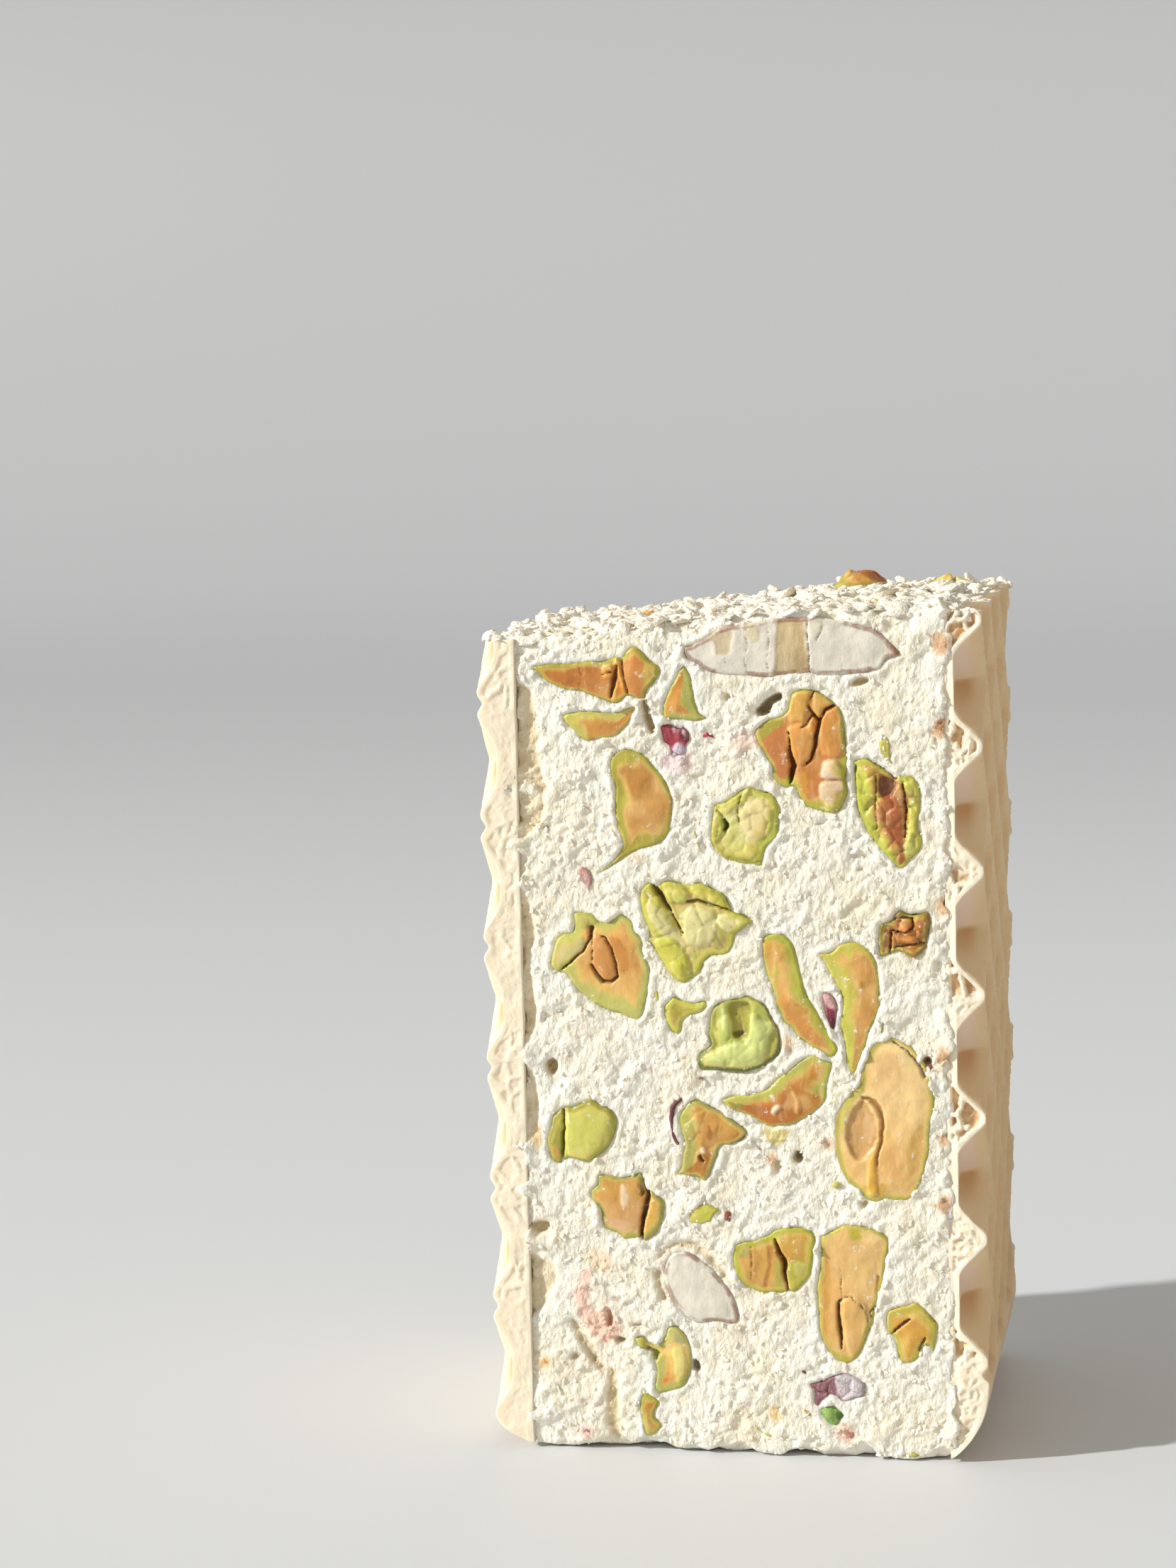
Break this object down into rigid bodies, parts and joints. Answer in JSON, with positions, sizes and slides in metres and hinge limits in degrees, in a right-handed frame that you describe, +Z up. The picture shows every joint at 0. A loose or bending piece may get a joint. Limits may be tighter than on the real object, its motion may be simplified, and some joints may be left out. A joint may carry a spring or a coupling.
{
  "type": "nougat bar",
  "caption": "Upright bar of crumbly white nougat full of pistachios, almonds and berry bits, with a diamond-waffled wafer sheet on each broad side.",
  "frame": {"origin": "on the ground under the middle of the bar, which stands on its narrow end", "axes": "+Z up along the bar's length, +X towards the right-hand wafer, -Y out of the front cut face"},
  "size_m": [0.051, 0.039, 0.087],
  "materials": {
    "nougat": "matt crumbly aerated sugar, off-white",
    "wafer": "dry pale biscuit with a smooth baked skin and a porous cut edge",
    "pistachio": "cut kernel, orange to yellow-green with a green rim, slightly waxy",
    "almond": "cut white kernel with a thin brown skin, slightly waxy",
    "fruit": "dried berry, dark red to mauve, frosted with sugar"
  },
  "bodies": {
    "root": {"almond_back_1": "almond", "almond_back_2": "almond", "almond_long": "almond", "almond_short": "almond", "almond_top": "almond", "fruit_back_1": "fruit", "fruit_back_2": "fruit", "fruit_bit": "fruit", "fruit_crumb": "fruit", "fruit_green": "fruit", "fruit_sliver": "fruit", "fruit_top": "fruit", "nougat": "nougat", "pistachio_back_1": "pistachio", "pistachio_back_10": "pistachio", "pistachio_back_11": "pistachio", "pistachio_back_12": "pistachio", "pistachio_back_2": "pistachio", "pistachio_back_3": "pistachio", "pistachio_back_4": "pistachio", "pistachio_back_5": "pistachio", "pistachio_back_6": "pistachio", "pistachio_back_7": "pistachio", "pistachio_back_8": "pistachio", "pistachio_back_9": "pistachio", "pistachio_banana": "pistachio", "pistachio_base_1": "pistachio", "pistachio_base_2": "pistachio", "pistachio_base_3": "pistachio", "pistachio_base_4": "pistachio", "pistachio_bean": "pistachio", "pistachio_broken_end": "pistachio", "pistachio_broken_top": "pistachio", "pistachio_chip": "pistachio", "pistachio_cracked": "pistachio", "pistachio_crescent": "pistachio", "pistachio_fin": "pistachio", "pistachio_folded": "pistachio", "pistachio_half_moon": "pistachio", "pistachio_heart": "pistachio", "pistachio_hooked": "pistachio", "pistachio_large": "pistachio", "pistachio_leafy": "pistachio", "pistachio_lime": "pistachio", "pistachio_pair": "pistachio", "pistachio_pale": "pistachio", "pistachio_round": "pistachio", "pistachio_ruffled": "pistachio", "pistachio_small": "pistachio", "pistachio_split": "pistachio", "pistachio_tall": "pistachio", "pistachio_top_1": "pistachio", "pistachio_top_2": "pistachio", "pistachio_top_corner": "pistachio", "pistachio_top_edge": "pistachio", "pistachio_triangle": "pistachio", "pistachio_wedge": "pistachio", "wafer_left": "wafer", "wafer_right": "wafer"}
  },
  "joints": []
}
